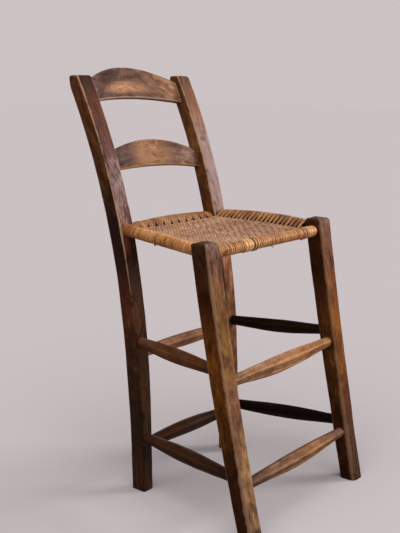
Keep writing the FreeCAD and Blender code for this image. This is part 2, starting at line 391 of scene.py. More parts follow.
def old_wood(name, length, face_tones, side_tones_and_shade, painted_sheen, seed, polish, start=0.0, wear_and_highlight_share=0.8,
             mottle=1.0, glow=None, worn=worn_and_highlight_tone, rub_and_highlight=(0.62, 0.95), below=False,
             foot=False, worn_and_highlight_from=(-2.0, -1.0), flats=0.0):
    """Old waxed wood: tones along the face and the sides, dark and golden blotches, a painted
    lilac grey sheen on the fronts, wormholes and grain. The sides' tones are darker, partly
    the wood's own tone and partly painted shade. A glow is a golden patch from rubbing: its
    place along and across, its two half sizes and its tone. The worn tone paints corners pale,
    partly worn wood and partly a painted highlight: one share says how strongly, a pair gives
    the nearness to a corner where that starts and is full, and a second pair the same along
    the bar. Below limits that to the lower corners, a foot has cracks, and flats is the share
    of a painted light and shade that changes the tone from facet to facet round the bar."""
    wood = Finish(name, Specular_IOR_Level=polish)
    timber = wood.attribute("timber")
    facing = wood.attribute("facing")
    shift = wood.node("VectorMath", {"operation": "ADD"}, {0: timber, 1: (seed, seed * 0.7, seed)})
    along = (wood.axis(timber, "Z") - start) * (1.0 / length)
    cloud = wood.grain(shift, cloud_lumps, 4.0, 0.6, 0.8)
    blotch = wood.grain(shift, blotch_lumps, 4.0, 0.62, 0.35)
    speck = wood.grain(shift, speck_lumps, 4.0, 0.68)
    streak = wood.grain(shift, streak_lumps, 4.0, 0.6)

    wander = along + (cloud - 0.5) * 0.22 + (blotch - 0.5) * 0.10
    # Face tones go on the fronts and side tones on all other faces; the sides' darker tones are
    # partly the wood's own and partly painted shade.
    face = wood.node("ValToRGB", {"stops": tone_stops(face_tones, length)}, {0: wander})
    side = wood.node("ValToRGB", {"stops": tone_stops(side_tones_and_shade, length)}, {0: wander})
    front = wood.rise(wood.axis(facing, "Y") * -1.0 + (speck - 0.5) * 0.3, 0.50, 0.80)
    colour = wood.mix(front, side, face)
    if glow:
        (glow_along, glow_across), (reach_along, reach_across), glow_tone = glow
        away_along = (wood.axis(timber, "Z") - glow_along) * (1.0 / reach_along)
        away_across = (wood.axis(timber, "X") - glow_across) * (1.0 / reach_across)
        away = away_along * away_along + away_across * away_across + (blotch - 0.5) * 3.4
        away = away + (cloud - 0.5) * 2.4
        colour = wood.mix(wood.rise(away, 1.7, 0.2) * front, colour, glow_tone)

    for value, stops in ((blotch, blotch_tints), (speck, speck_tints), (cloud, cloud_tints),
                         (streak, streak_tints)):
        tint = wood.node("ValToRGB", {"stops": stops}, {0: value})
        colour = wood.mix(mottle, colour, tint, "MULTIPLY")

    # Painted light and shade: a noise of the facing direction makes some facets lighter and others
    # darker.
    if flats:
        turned = wood.grain(facing, facet_shade_lumps, 1.0)
        tint = wood.node("ValToRGB", {"stops": facet_shade_tints}, {0: turned})
        colour = wood.mix(flats, colour, tint, "MULTIPLY")

    # Painted sheen: the fronts are mixed in ragged patches towards a lilac grey tone, as strongly
    # as the list of heights given for it says.
    painted_sheen_ramp = wood.node("ValToRGB", {"stops": shades(*((z / length, value) for z, value in painted_sheen))},
                     {0: along})
    painted_sheen_mask = wood.rise(painted_sheen_ramp + (cloud - 0.5) * 1.6 + (speck - 0.5) * 1.0, 0.50, 0.95) * front
    colour = wood.mix(painted_sheen_mask * 0.7, colour, painted_sheen_tone)

    # Corners painted pale towards the worn tone: partly worn wood and partly a painted highlight.
    near = wood.axis(facing, "Z")
    rubbed_and_highlight = wood.rise(near + (speck - 0.5) * 0.7 + (cloud - 0.5) * 1.7, *rub_and_highlight)
    rubbed_and_highlight = rubbed_and_highlight * wood.rise(along, *worn_and_highlight_from)
    if below:
        rubbed_and_highlight = rubbed_and_highlight * wood.rise(wood.axis(facing, "X"), 0.6, -0.4)
    colour = wood.mix(rubbed_and_highlight * wear_and_highlight_share, colour, worn)

    place = wood.node("VectorMath", {"operation": "MULTIPLY"}, {0: shift, 1: hole_lumps})
    hole = wood.node("TexVoronoi", {}, {"Vector": place, "Scale": 1.0})
    hole = wood.rise(hole, 0.045, 0.025) * wood.rise(cloud, 0.46, 0.52)
    colour = wood.mix(hole * 0.9, colour, hole_tone)
    if foot:
        crack = wood.grain(shift, crack_lumps, 2.0, 0.5)
        crack = wood.rise(crack, 0.58, 0.63) * wood.rise(along + (cloud - 0.5) * 0.1, 0.17, 0.04)
        colour = wood.mix(crack * 0.85, colour, hole_tone)

    rough = (blotch - 0.5) * -0.35 + (speck - 0.5) * 0.25 + 0.44 - painted_sheen_mask * 0.08
    relief = wood.bump(streak, streak_depth)
    relief = wood.bump(speck, speck_depth, relief)
    relief = wood.bump(blotch, blotch_depth, relief)
    wood.put(wood.shader.inputs["Base Color"], colour)
    wood.put(wood.shader.inputs["Roughness"], rough)
    wood.put(wood.shader.inputs["Normal"], relief)
    return wood.material


def place_piece(piece, slot, *replaced):
    """Hangs a finished piece on the chair, in place of the plain solids that it replaces."""
    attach(piece, "root")
    if replaced:
        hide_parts(*replaced)


post_face_tones = {
    "left": [(0.0, (0.060, 0.025, 0.012)), (0.11, (0.006, 0.003, 0.002)),
             (0.20, (0.052, 0.022, 0.008)), (0.34, (0.034, 0.013, 0.005)),
             (0.43, (0.077, 0.025, 0.009)), (0.54, (0.045, 0.014, 0.006)),
             (0.62, (0.14, 0.046, 0.024)), (0.69, (0.17, 0.086, 0.082)),
             (0.78, (0.11, 0.038, 0.028)), (0.87, (0.115, 0.031, 0.009)),
             (0.943, (0.034, 0.013, 0.006))],
    "right": [(0.0, (0.07, 0.025, 0.008)), (0.30, (0.15, 0.055, 0.018)),
              (0.42, (0.185, 0.068, 0.023)), (0.53, (0.42, 0.17, 0.072)),
              (0.60, (0.15, 0.064, 0.037)), (0.71, (0.14, 0.062, 0.042)),
              (0.80, (0.28, 0.145, 0.095)), (0.90, (0.17, 0.065, 0.032)),
              (0.943, (0.12, 0.05, 0.026))]}
# Side tones of the posts: darker than the fronts, partly the wood's own tone and partly painted
# shade.
post_side_tones_and_shade = {
    "left": [(0.0, (0.07, 0.022, 0.007)), (0.14, (0.016, 0.006, 0.002)),
             (0.30, (0.030, 0.010, 0.003)), (0.44, (0.085, 0.024, 0.009)),
             (0.54, (0.020, 0.005, 0.002)), (0.64, (0.015, 0.003, 0.001)),
             (0.76, (0.10, 0.036, 0.009)), (0.943, (0.11, 0.040, 0.016))],
    "right": [(0.0, (0.07, 0.022, 0.007)), (0.30, (0.04, 0.012, 0.004)),
              (0.60, (0.10, 0.035, 0.010)), (0.76, (0.17, 0.068, 0.020)),
              (0.943, (0.10, 0.040, 0.016))]}
# Painted sheen on the posts' fronts: its strength at each height.
post_painted_sheen = {
    "left": [(0.0, 0.0), (0.56, 0.25), (0.66, 0.75), (0.72, 0.75), (0.80, 0.30), (0.90, 0.0)],
    "right": [(0.0, 0.0), (0.60, 0.45), (0.70, 0.95), (0.78, 0.95), (0.84, 0.35), (0.92, 0.05)]}
post_polish = 0.065
# Where along the posts their pale corners, partly worn and partly a painted highlight, start and
# are full.
post_worn_and_highlight_from = (0.38, 0.66)
post_wave_seeds = {"left": 3.0, "right": 17.0}
post_wood_seeds = {"left": 1.3, "right": 4.1}


def worn_back(z):
    """How much of a post's back is worn away at height z, just below its top."""
    share = max(0.0, (z - post_height + post_worn_height) / post_worn_height)
    return post_worn_depth * min(1.0, share) ** post_worn_power


def worn_halves(z):
    """Half the width and half the depth of what is left of a post at height z."""
    half_width, half_depth = post_halves(z)
    return half_width, half_depth - 0.5 * worn_back(z)


def worn_middle(side, z):
    """Middle of what is left of a post at height z."""
    return post_middle(side, z) - Vector((0.0, 0.5 * worn_back(z), 0.0))


for side in ("left", "right"):
    rings = upright_rings(lambda z, side=side: worn_middle(side, z), worn_halves,
                          lambda z: (post_corner,) * 4, post_height, post_crown, post_step)
    post = rolled("post_" + side, rings)
    hand_worked(post, post_wave, post_wave_seeds[side])
    post.data.materials.append(old_wood("post_wood_" + side, post_height, post_face_tones[side],
                                        post_side_tones_and_shade[side], post_painted_sheen[side],
                                        post_wood_seeds[side], post_polish, foot=True,
                                        worn_and_highlight_from=post_worn_and_highlight_from))
    place_piece(post, "upright_wood", "back_post_" + side)


# Front legs: heavier shaved timbers that spread forwards to the floor. Their fronts are
# golden from rubbing, their heads are grey, partly their own tone and partly a painted sheen,
# and the near foot is pale and dusty.
leg_height = 0.614
leg_feet = {"left": (-0.2075, -0.263), "right": (0.2015, -0.2625)}
leg_tops = {"left": (-0.2195, -0.1475), "right": (0.2195, -0.138)}
leg_bows = {"left": (-0.003, 0.006), "right": (-0.001, 0.0035)}
leg_foot_halves = (0.0205, 0.0195)
leg_top_halves = (0.0225, 0.022)
leg_crown = 0.007
leg_step = 0.0045
leg_wave = 0.0010
leg_back_corner = 0.005
leg_front_corner = 0.008
leg_corner_wear = 0.005
leg_worn_up_to = 0.30


def leg_middle(side, z):
    """Middle of a front leg at height z."""
    share = z / leg_height
    swell = 4.0 * share * (1.0 - share)
    foot, top, bow = leg_feet[side], leg_tops[side], leg_bows[side]
    return Vector((foot[0] + (top[0] - foot[0]) * share + bow[0] * swell,
                   foot[1] + (top[1] - foot[1]) * share + bow[1] * swell, z))


def leg_halves(z):
    """Half the width and half the depth of a front leg at height z."""
    share = z / leg_height
    return tuple(a + (b - a) * share for a, b in zip(leg_foot_halves, leg_top_halves))


def leg_corners(z):
    """Corner radii: the front corners are worn rounder towards the foot."""
    low = max(0.0, 1.0 - z / leg_worn_up_to)
    front = leg_front_corner + leg_corner_wear * low
    return leg_back_corner, leg_back_corner, front, front


leg_face_tones = {
    "left": [(0.0, (0.03, 0.014, 0.006)), (0.04, (0.16, 0.080, 0.036)),
             (0.10, (0.20, 0.102, 0.047)), (0.20, (0.235, 0.120, 0.058)),
             (0.28, (0.16, 0.068, 0.038)), (0.40, (0.205, 0.090, 0.024)),
             (0.50, (0.155, 0.060, 0.018)), (0.60, (0.14, 0.064, 0.042))],
    "right": [(0.0, (0.05, 0.022, 0.009)), (0.08, (0.042, 0.017, 0.005)),
              (0.20, (0.070, 0.017, 0.003)), (0.33, (0.20, 0.062, 0.005)),
              (0.46, (0.15, 0.040, 0.004)), (0.56, (0.16, 0.060, 0.023)),
              (0.61, (0.16, 0.068, 0.042))]}
# Side tones of the legs: darker than the fronts, partly the wood's own tone and partly painted
# shade.
leg_side_tones_and_shade = {
    "left": [(0.0, (0.012, 0.004, 0.001)), (0.03, (0.030, 0.008, 0.0015)),
             (0.14, (0.034, 0.009, 0.002)), (0.25, (0.085, 0.026, 0.004)),
             (0.40, (0.15, 0.050, 0.007)), (0.50, (0.035, 0.008, 0.002)),
             (0.61, (0.05, 0.018, 0.007))],
    "right": [(0.0, (0.030, 0.009, 0.003)), (0.15, (0.038, 0.012, 0.003)),
              (0.35, (0.12, 0.046, 0.012)), (0.50, (0.034, 0.008, 0.002)),
              (0.61, (0.05, 0.018, 0.007))]}
# Painted sheen on the legs' fronts: its strength at each height.
leg_painted_sheen = {
    "left": [(0.0, 0.30), (0.10, 0.25), (0.25, 0.1), (0.50, 0.0), (0.56, 0.35), (0.61, 0.6)],
    "right": [(0.0, 0.35), (0.12, 0.15), (0.25, 0.0), (0.54, 0.05), (0.58, 0.4), (0.61, 0.5)]}
# How strongly the legs' corners are painted pale, and with what tone: partly worn, partly a painted
# highlight.
leg_wear_and_highlight = {"left": 0.70, "right": 0.45}
leg_worn_and_highlight_tone = (0.36, 0.215, 0.130)
leg_polish = 0.045
leg_wave_seeds = {"left": 31.0, "right": 47.0}
leg_wood_seeds = {"left": 7.7, "right": 9.2}

for side in ("left", "right"):
    leg = rolled("leg_" + side, upright_rings(lambda z, side=side: leg_middle(side, z), leg_halves,
                                              leg_corners, leg_height, leg_crown, leg_step))
    hand_worked(leg, leg_wave, leg_wave_seeds[side])
    leg.data.materials.append(old_wood("leg_wood_" + side, leg_height, leg_face_tones[side],
                                       leg_side_tones_and_shade[side], leg_painted_sheen[side],
                                       leg_wood_seeds[side], leg_polish, wear_and_highlight_share=leg_wear_and_highlight[side],
                                       worn=leg_worn_and_highlight_tone, rub_and_highlight=(0.30, 1.0), foot=True))
    place_piece(leg, "upright_wood", "front_leg_" + side)


# Crest rail and back slat: two arched boards sawn from one plank, tenoned into the posts and
# raked with them. Backs have polished them golden in the middle, and the ends are greyer,
# partly their own tone and partly a painted sheen.
board_half_thickness = 0.0065
board_set_back = 0.0035
board_radius = 0.0045
board_into_post = 0.004
board_step = 0.004
board_wave = 0.0007
board_rake_reach = 0.005
crest = {"top": (0.9615, 0.033, -0.015), "bottom": (0.890, 0.0095, -0.027), "bow": 0.014}
back_slat = {"top": (0.795, 0.026, -0.038), "bottom": (0.735, 0.008, -0.033), "bow": 0.004}


def between_posts(share, z):
    """A point at height z whose share runs from -1 at the left post to 1 at the right one."""
    return post_middle("left", z).lerp(post_middle("right", z), 0.5 * (share + 1.0))


def board_rings(board):
    """Sections of an arched board from the left post to the right one."""
    z = 0.5 * (board["top"][0] + board["bottom"][0])
    half_span = 0.5 * (post_middle("right", z).x - post_middle("left", z).x)
    face = half_span - post_halves(z)[0]
    reach = face + board_into_post
    count = 2 * round(reach / board_step)
    rings = []
    for i in range(count + 1):
        x = reach * (2.0 * i / count - 1.0)
        top, bottom = (middle - fall * (x / face) ** 2 + tilt * x
                       for middle, fall, tilt in (board["top"], board["bottom"]))
        middle_z = 0.5 * (top + bottom)
        lift = (between_posts(0.0, middle_z + board_rake_reach)
                - between_posts(0.0, middle_z - board_rake_reach))
        rake = Vector((0.0, lift.y, lift.z)).normalized()
        back = Vector((0.0, rake.z, -rake.y))
        bow = board["bow"] * (1.0 - (x / face) ** 2)
        middle = between_posts(x / half_span, middle_z)
        middle += Vector((0.0, board_set_back + bow, 0.0))
        outline = squared(0.5 * (top - bottom) / rake.z, board_half_thickness,
                          (board_radius,) * 4, per_face=10)
        rings.append((middle, rake, back, outline, 1.0, x))
    first, last = rings[0], rings[-1]
    return [first[:4] + (0.0,) + first[5:]] + rings + [last[:4] + (0.0,) + last[5:]]


board_face_tones = {
    "crest": [(0.0, (0.095, 0.045, 0.040)), (0.10, (0.11, 0.052, 0.038)),
              (0.20, (0.15, 0.072, 0.046)), (0.29, (0.335, 0.173, 0.095))],
    "slat": [(0.0, (0.08, 0.038, 0.034)), (0.07, (0.12, 0.058, 0.040)),
             (0.20, (0.14, 0.062, 0.035)), (0.29, (0.16, 0.074, 0.050))]}
# Tones of the boards' edges and backs: darker, partly the wood's own tone and partly painted shade.
board_side_tones_and_shade = [(0.0, (0.06, 0.024, 0.012)), (0.29, (0.08, 0.030, 0.014))]
# Painted sheen on the boards' fronts: its strength along them, greyest at the ends.
board_painted_sheen = {"crest": [(0.0, 0.55), (0.10, 0.25), (0.24, 0.2), (0.29, 0.3)],
               "slat": [(0.0, 0.6), (0.09, 0.2), (0.17, 0.1), (0.22, 0.40), (0.29, 0.45)]}
board_glow = {"crest": ((-0.020, -0.012), (0.075, 0.015), (0.37, 0.185, 0.10)),
              "slat": ((-0.01, -0.002), (0.066, 0.050), (0.28, 0.128, 0.055))}
# Pale tones for the boards' corners: partly worn, partly a painted highlight.
board_worn_and_highlight = {"crest": (0.50, 0.32, 0.22), "slat": (0.55, 0.27, 0.11)}
board_tone_span = 0.29
board_polish = 0.05

for name, node, board, seed in (("crest", "crest_rail", crest, 5.0),
                                ("slat", "back_slat", back_slat, 8.0)):
    piece = rolled(name + "_board", board_rings(board))
    hand_worked(piece, board_wave, seed)
    piece.data.materials.append(old_wood(name + "_wood", board_tone_span, board_face_tones[name],
                                         board_side_tones_and_shade, board_painted_sheen[name], seed, board_polish,
                                         start=-0.5 * board_tone_span, glow=board_glow[name],
                                         worn=board_worn_and_highlight[name], wear_and_highlight_share=0.85, rub_and_highlight=(0.25, 0.80),
                                         below=True))
    place_piece(piece, "board_wood", node)


# Stretchers: eight bars drawn down with a knife to thin round ends and driven into the
# uprights. They keep the long flats of the knife, and feet have worn the front ones. Both
# right-hand bars and the lower back and left ones stand in the seat's shade and are given far
# darker tones: painted shade.
stretcher_end_radius = 0.0115
stretcher_housing = 0.003
stretcher_step = 0.0035
stretcher_wave = 0.0008
flat_power = 36.0
flats_fade = 3.0
stretchers = {
    "front_upper": {"heights": (0.3265, 0.3265), "halves": (0.0205, 0.015), "fullness": 1.6,
                    "sag": 0.004, "flats": 6, "turn": 0.45},
    "front_lower": {"heights": (0.1125, 0.1135), "halves": (0.018, 0.015), "fullness": 2.6,
                    "sag": 0.003, "flats": 6, "turn": 0.30},
    "back_upper": {"heights": (0.325, 0.323), "halves": (0.0155, 0.014), "fullness": 1.6,
                   "sag": -0.0005, "flats": 7, "turn": 0.1},
    "back_lower": {"heights": (0.107, 0.1035), "halves": (0.0175, 0.015), "fullness": 1.6,
                   "sag": -0.0015, "flats": 8, "turn": 0.2},
    "left_upper": {"heights": (0.356, 0.350), "halves": (0.0175, 0.0145), "fullness": 1.8,
                   "sag": 0.0005, "flats": 8, "turn": 0.35},
    "left_lower": {"heights": (0.130, 0.128), "halves": (0.0175, 0.0145), "fullness": 1.8,
                   "sag": 0.0005, "flats": 7, "turn": 0.25},
    "right_upper": {"heights": (0.341, 0.349), "halves": (0.016, 0.014), "fullness": 1.6,
                    "sag": 0.0025, "flats": 8, "turn": 0.1},
    "right_lower": {"heights": (0.123, 0.135), "halves": (0.0165, 0.014), "fullness": 1.6,
                    "sag": 0.0, "flats": 7, "turn": 0.5}}


def bar_ends(place, heights):
    """Middles of the two uprights that a bar joins, and how deep it lies in each of them.
    The left or back one comes first."""
    if place == "front":
        ends = leg_middle("left", heights[0]), leg_middle("right", heights[1])
        return ends, (leg_halves(heights[0])[0], leg_halves(heights[1])[0])
    if place == "back":
        ends = post_middle("left", heights[0]), post_middle("right", heights[1])
        return ends, (post_halves(heights[0])[0], post_halves(heights[1])[0])
    ends = post_middle(place, heights[0]), leg_middle(place, heights[1])
    return ends, (post_halves(heights[0])[1], leg_halves(heights[1])[1])


def shaved(half_u, half_v, flats, turn, sharpness, points=48):
    """Outline of a bar shaved to a number of flats with softened edges between them."""
    outline = []
    rim = math.cos(math.pi / flats)
    for i in range(points):
        angle = 2.0 * math.pi * i / points
        total = sum(max(0.0, math.cos(angle - turn - 2.0 * math.pi * k / flats)) ** flat_power
                    for k in range(flats))
        radius = total ** (-1.0 / flat_power)
        near = min(1.0, max(0.0, (radius - 1.0) / (1.0 / rim - 1.0)))
        radius = 1.0 + (radius * (0.5 + 0.5 * rim) - 1.0) * sharpness
        out_u, out_v = math.cos(angle), math.sin(angle)
        outline.append((half_u * radius * out_u, half_v * radius * out_v, out_u, out_v,
                        near * sharpness))
    return outline


def stretcher_rings(place, bar):
    """Sections of a stretcher, fat in the middle and thin at both ends."""
    (start, end), (near, far) = bar_ends(place, bar["heights"])
    length = (end - start).length
    along = (end - start) / length
    up = Vector((0.0, 0.0, 1.0))
    inwards = up.cross(along).normalized()
    rise = along.cross(inwards).normalized()
    first = (near - stretcher_housing) / length
    last = 1.0 - (far - stretcher_housing) / length
    count = round((last - first) * length / stretcher_step)
    rings = []
    for i in range(count + 1):
        share = i / count
        fat = (4.0 * share * (1.0 - share)) ** bar["fullness"]
        middle = start.lerp(end, first + (last - first) * share) - up * (bar["sag"] * fat)
        half_u, half_v = (stretcher_end_radius + (half - stretcher_end_radius) * fat
                          for half in bar["halves"])
        outline = shaved(half_u, half_v, bar["flats"], bar["turn"], min(1.0, flats_fade * fat))
        rings.append((middle, rise, inwards, outline, 1.0, share * (last - first) * length))
    first, last = rings[0], rings[-1]
    return [first[:4] + (0.0,) + first[5:]] + rings + [last[:4] + (0.0,) + last[5:]]


# Tones of each bar: both right-hand bars and the lower back and left ones are far darker, painted
# shade where the seat shades them.
stretcher_tones_and_shade = {
    "front_upper": [(0.0, (0.23, 0.12, 0.06)), (0.1, (0.27, 0.14, 0.075)),
                    (0.25, (0.285, 0.13, 0.055)), (0.38, (0.24, 0.11, 0.045))],
    "front_lower": [(0.0, (0.08, 0.036, 0.024)), (0.12, (0.14, 0.070, 0.038)),
                    (0.25, (0.235, 0.107, 0.043)), (0.38, (0.13, 0.065, 0.046))],
    "back_upper": [(0.0, (0.36, 0.18, 0.11)), (0.3, (0.245, 0.103, 0.045))],
    "back_lower": [(0.0, (0.045, 0.015, 0.006)), (0.3, (0.028, 0.010, 0.004))],
    "left_upper": [(0.0, (0.12, 0.047, 0.020)), (0.25, (0.10, 0.038, 0.015))],
    "left_lower": [(0.0, (0.045, 0.018, 0.008)), (0.28, (0.032, 0.012, 0.005))],
    "right_upper": [(0.0, (0.019, 0.009, 0.006)), (0.25, (0.015, 0.007, 0.004))],
    "right_lower": [(0.0, (0.008, 0.002, 0.001)), (0.28, (0.006, 0.002, 0.001))]}
# Painted sheen on the two front stretchers.
stretcher_painted_sheen = {"front_upper": 0.2, "front_lower": 0.15}
stretcher_polish = 0.04
# The stretchers' facet edges are painted a paler copy of their tone: partly worn, partly a painted
# highlight.
stretcher_rubbed_and_highlight = 1.9

for i, (name, bar) in enumerate(stretchers.items()):
    rings = stretcher_rings(name.split("_")[0], bar)
    piece = rolled("stretcher_" + name + "_bar", rings)
    hand_worked(piece, stretcher_wave, 60.0 + 7.0 * i)
    tones = stretcher_tones_and_shade[name]
    painted_sheen = stretcher_painted_sheen.get(name, 0.0)
    rubbed_and_highlight_tone = tuple(stretcher_rubbed_and_highlight * value for value in tones[len(tones) // 2][1])
    piece.data.materials.append(old_wood("stretcher_wood_" + name, rings[-1][5], tones, tones,
                                         [(0.0, painted_sheen), (0.1, painted_sheen)], 11.0 + i,
                                         stretcher_polish, wear_and_highlight_share=0.5, mottle=0.7,
                                         worn=rubbed_and_highlight_tone, rub_and_highlight=(0.3, 0.9), flats=1.0))
    place_piece(piece, "stretcher_wood", "stretcher_" + name)


# Seat rails: four round bars of bare beech with thinner tenons at both ends. The cane hides
# them, so they stay as they were turned, dry and dull, with the long grain of the bar.
rail_heights = {"front": (0.5915, 0.586), "back": (0.601, 0.599),
                "left": (0.6095, 0.5935), "right": (0.604, 0.591)}
grain_stretch = 0.95

for place in ("front", "back", "left", "right"):
    start, end = bar_ends(place, rail_heights[place])[0]
    along_bar = (end - start).normalized()
    bare = Finish("bare_wood_" + place, Specular_IOR_Level=0.2)
    spot = bare.node("TexCoord", {}, {}, 3)
    run = bare.node("VectorMath", {"operation": "DOT_PRODUCT"}, {0: spot, 1: along_bar}, 1)
    shrink = bare.node("VectorMath", {"operation": "SCALE"},
                       {0: tuple(along_bar), 3: run * grain_stretch})
    squeezed = bare.node("VectorMath", {"operation": "SUBTRACT"}, {0: spot, 1: shrink})
    grain = bare.grain(squeezed, (420.0, 420.0, 420.0), 4.0, 0.6)
    tint = bare.node("ValToRGB", {"stops": [
        (0.30, (0.16, 0.085, 0.042)), (0.52, (0.26, 0.15, 0.080)), (0.74, (0.34, 0.21, 0.12))]},
        {0: grain})
    bare.put(bare.shader.inputs["Base Color"], tint)
    bare.put(bare.shader.inputs["Roughness"], grain * 0.2 + 0.6)
    bare.put(bare.shader.inputs["Normal"], bare.bump(grain, 0.0003))
    rail = nodes["seat_rail_" + place]
    rail.data.materials.clear()
    rail.data.materials.append(bare.material)


# Cane of the seat: long flat strands of split cane, woven both ways in a herringbone. Each
# one leaves the weave, goes round its seat rail and comes back into a second layer below.
rail_rises = {"front": 0.0, "back": 0.008, "left": 0.0, "right": 0.008}
rail_cane_radii = {"front": (0.0142, 0.0135, 0.013), "back": (0.0135, 0.014, 0.0135),
                   "left": (0.014, 0.014, 0.0135), "right": (0.0135, 0.0145, 0.0135)}
weave_insets = {"front": 0.020, "back": 0.020, "left": 0.019, "right": 0.032}
cane_thickness = 0.0017
# How far inside the cane's outer face the near black core of painted shade lies.
gap_shade_inset = 0.0026
seat_dish = 0.010
seat_below_rail = 0.001
seat_thickness = 0.009
weave_thickness = 0.0012
upwards = Vector((0.0, 0.0, 1.0))
seat_middle = Vector((0.0, -0.01, 0.6))


def rail_point(place, share):
    """A point on the middle line of a seat rail."""
    start, end = bar_ends(place, rail_heights[place])[0]
    return start.lerp(end, share) + upwards * (rail_rises[place] * 4.0 * share * (1.0 - share))


def rail_span(place):
    """Length of a rail between the middles of its uprights, and where it leaves the first of
    them and enters the second."""
    (start, end), (near, far) = bar_ends(place, rail_heights[place])
    length = (end - start).length
    return length, near, length - far


def rail_axes(place):
    """The three directions of a rail: along it, towards the seat and up."""
    start, end = bar_ends(place, rail_heights[place])[0]
    along = (end - start) / (end - start).length
    to_seat = upwards.cross(along).normalized()
    if to_seat.dot(seat_middle - start.lerp(end, 0.5)) < 0.0:
        to_seat.negate()
    rise = along.cross(to_seat)
    if rise.z < 0.0:
        rise.negate()
    return along, to_seat, rise


def rail_radius(place, share):
    """Outer radius of the cane on a rail."""
    first, middle, last = rail_cane_radii[place]
    swell = 4.0 * share * (1.0 - share)
    return first + (last - first) * share + swell * (middle - 0.5 * (first + last))


def seat_point(a, b, depth=0.0):
    """A point of the seat: a runs from left to right and b from the back to the front."""
    left, right = rail_point("left", b), rail_point("right", b)
    back, front = rail_point("back", 0.5).z, rail_point("front", 0.5).z
    middle_z = back + (front - back) * b - seat_dish * 4.0 * b * (1.0 - b)
    point = left.lerp(right, a)
    point.z += (middle_z - 0.5 * (left.z + right.z)) * 4.0 * a * (1.0 - a)
    point.z -= seat_below_rail + depth
    return point


def strands(name, lines, section):
    """Closed flat strands as one piece. A line is a list of (middle, side, out, half width,
    thickness, tint, distance along), and the section gives (across, height) points."""
    points, faces, values = [], [], []
    around = len(section)
    for line in lines:
        first = len(points)
        for middle, side, out, half_width, thickness, tint, along in line:
            for across, height in section:
                points.append(middle + side * (across * half_width) + out * (height * thickness))
                values += (across, tint, along)
        for i in range(len(line) - 1):
            for j in range(around):
                a, b = first + i * around + j, first + i * around + (j + 1) % around
                faces.append((a, b, b + around, a + around))
        faces.append(tuple(range(first + around - 1, first - 1, -1)))
        faces.append(tuple(range(len(points) - around, len(points))))
    mesh = bpy.data.meshes.new(name)
    mesh.from_pydata(points, [], faces)
    mesh.attributes.new("strand", "FLOAT_VECTOR", "POINT").data.foreach_set("vector", values)
    piece = bpy.data.objects.new(name, mesh)
    bpy.context.scene.collection.objects.link(piece)
    bpy.ops.object.select_all(action="DESELECT")
    piece.select_set(True)
    bpy.context.view_layer.objects.active = piece
    bpy.ops.object.mode_set(mode="EDIT")
    bpy.ops.mesh.select_all(action="SELECT")
    bpy.ops.mesh.normals_make_consistent(inside=False)
    bpy.ops.object.mode_set(mode="OBJECT")
    bpy.ops.object.shade_smooth()
    return piece


def weave_edge(place, share, depth):
    """Where a strand leaves the weave for a rail, at a depth below the seat's face."""
    inset = weave_insets[place]
    if place in ("left", "right"):
        inset /= (rail_point("right", share) - rail_point("left", share)).length
        return seat_point(inset if place == "left" else 1.0 - inset, share, depth)
    inset /= (rail_point("front", share) - rail_point("back", share)).length
    return seat_point(share, inset if place == "back" else 1.0 - inset, depth)


def tangent_turn(foot, axis, to_seat, rise, radius, above):
    """Turn, from the top towards the seat, at which a strand from a point meets its rail."""
    level, height = (foot - axis).dot(to_seat), (foot - axis).dot(rise)
    distance = math.hypot(level, height)
    lean = math.asin(min(1.0, radius / distance))
    return (lean if above else math.pi - lean) - math.atan2(height, level)


lay_height = 0.0005
lay_sway = 0.0007
edge_depth_in_strands = 2.2
cane_sink = 0.3


def round_rail(place, distance, shift, widths, tint, seed):
    """A strand from the upper weave over its rail, down its outside and back below. Shift is
    how far it moves along the rail on its way up, and widths are at the weave and above."""
    share = distance / rail_span(place)[0]
    along, to_seat, rise = rail_axes(place)
    axis = rail_point(place, share)
    radius = rail_radius(place, share) - cane_thickness
    radius += lay_height * noise.noise(Vector((seed * 2.3, 0.0, 4.0)))
    edge_depth = edge_depth_in_strands * weave_thickness
    upper = weave_edge(place, share, edge_depth) - along * shift
    lower = weave_edge(place, share, seat_thickness - edge_depth)
    from_turn = tangent_turn(upper, axis, to_seat, rise, radius, True)
    to_turn = tangent_turn(lower, axis, to_seat, rise, radius, False) - 2.0 * math.pi
    line = []

    def station(point, turn, width):
        out = to_seat * math.sin(turn) + rise * math.cos(turn)
        line.append((point - out * (cane_sink * cane_thickness), along, out, 0.5 * width,
                     cane_thickness, tint, 0.013 * len(line) / 1.7 + 0.31 * seed))

    def on_rail(turn):
        sway = lay_sway * noise.noise(Vector((seed * 1.9, turn * 0.8, 2.0)))
        return axis + (to_seat * math.sin(turn) + rise * math.cos(turn)) * radius + along * sway

    run_steps, turn_steps, widening = 4, 20, 1.25
    for i in range(run_steps):
        t = i / run_steps
        width = widths[0] + (widths[1] - widths[0]) * min(1.0, widening * t)
        station(upper.lerp(on_rail(from_turn), t), from_turn, width)
    for i in range(turn_steps + 1):
        turn = from_turn + (to_turn - from_turn) * i / turn_steps
        station(on_rail(turn), turn, widths[1])
    station(lower, to_turn, widths[1])
    return line


def extra_ring(place, share, width, lift, tint, seed):
    """A ring of cane laid over the others, as a mend or a binding."""
    along, to_seat, rise = rail_axes(place)
    axis = rail_point(place, share)
    radius = rail_radius(place, share) - cane_thickness + lift
    steps, first_turn, drift = 36, 2.6, 0.002
    line = []
    for i in range(steps + 1):
        turn = first_turn - 2.0 * math.pi * i / steps
        out = to_seat * math.sin(turn) + rise * math.cos(turn)
        line.append((axis + out * radius + along * (drift * (i / steps - 0.5)), along, out,
                     0.5 * width, cane_thickness, tint, 0.0025 * i + seed))
    return line


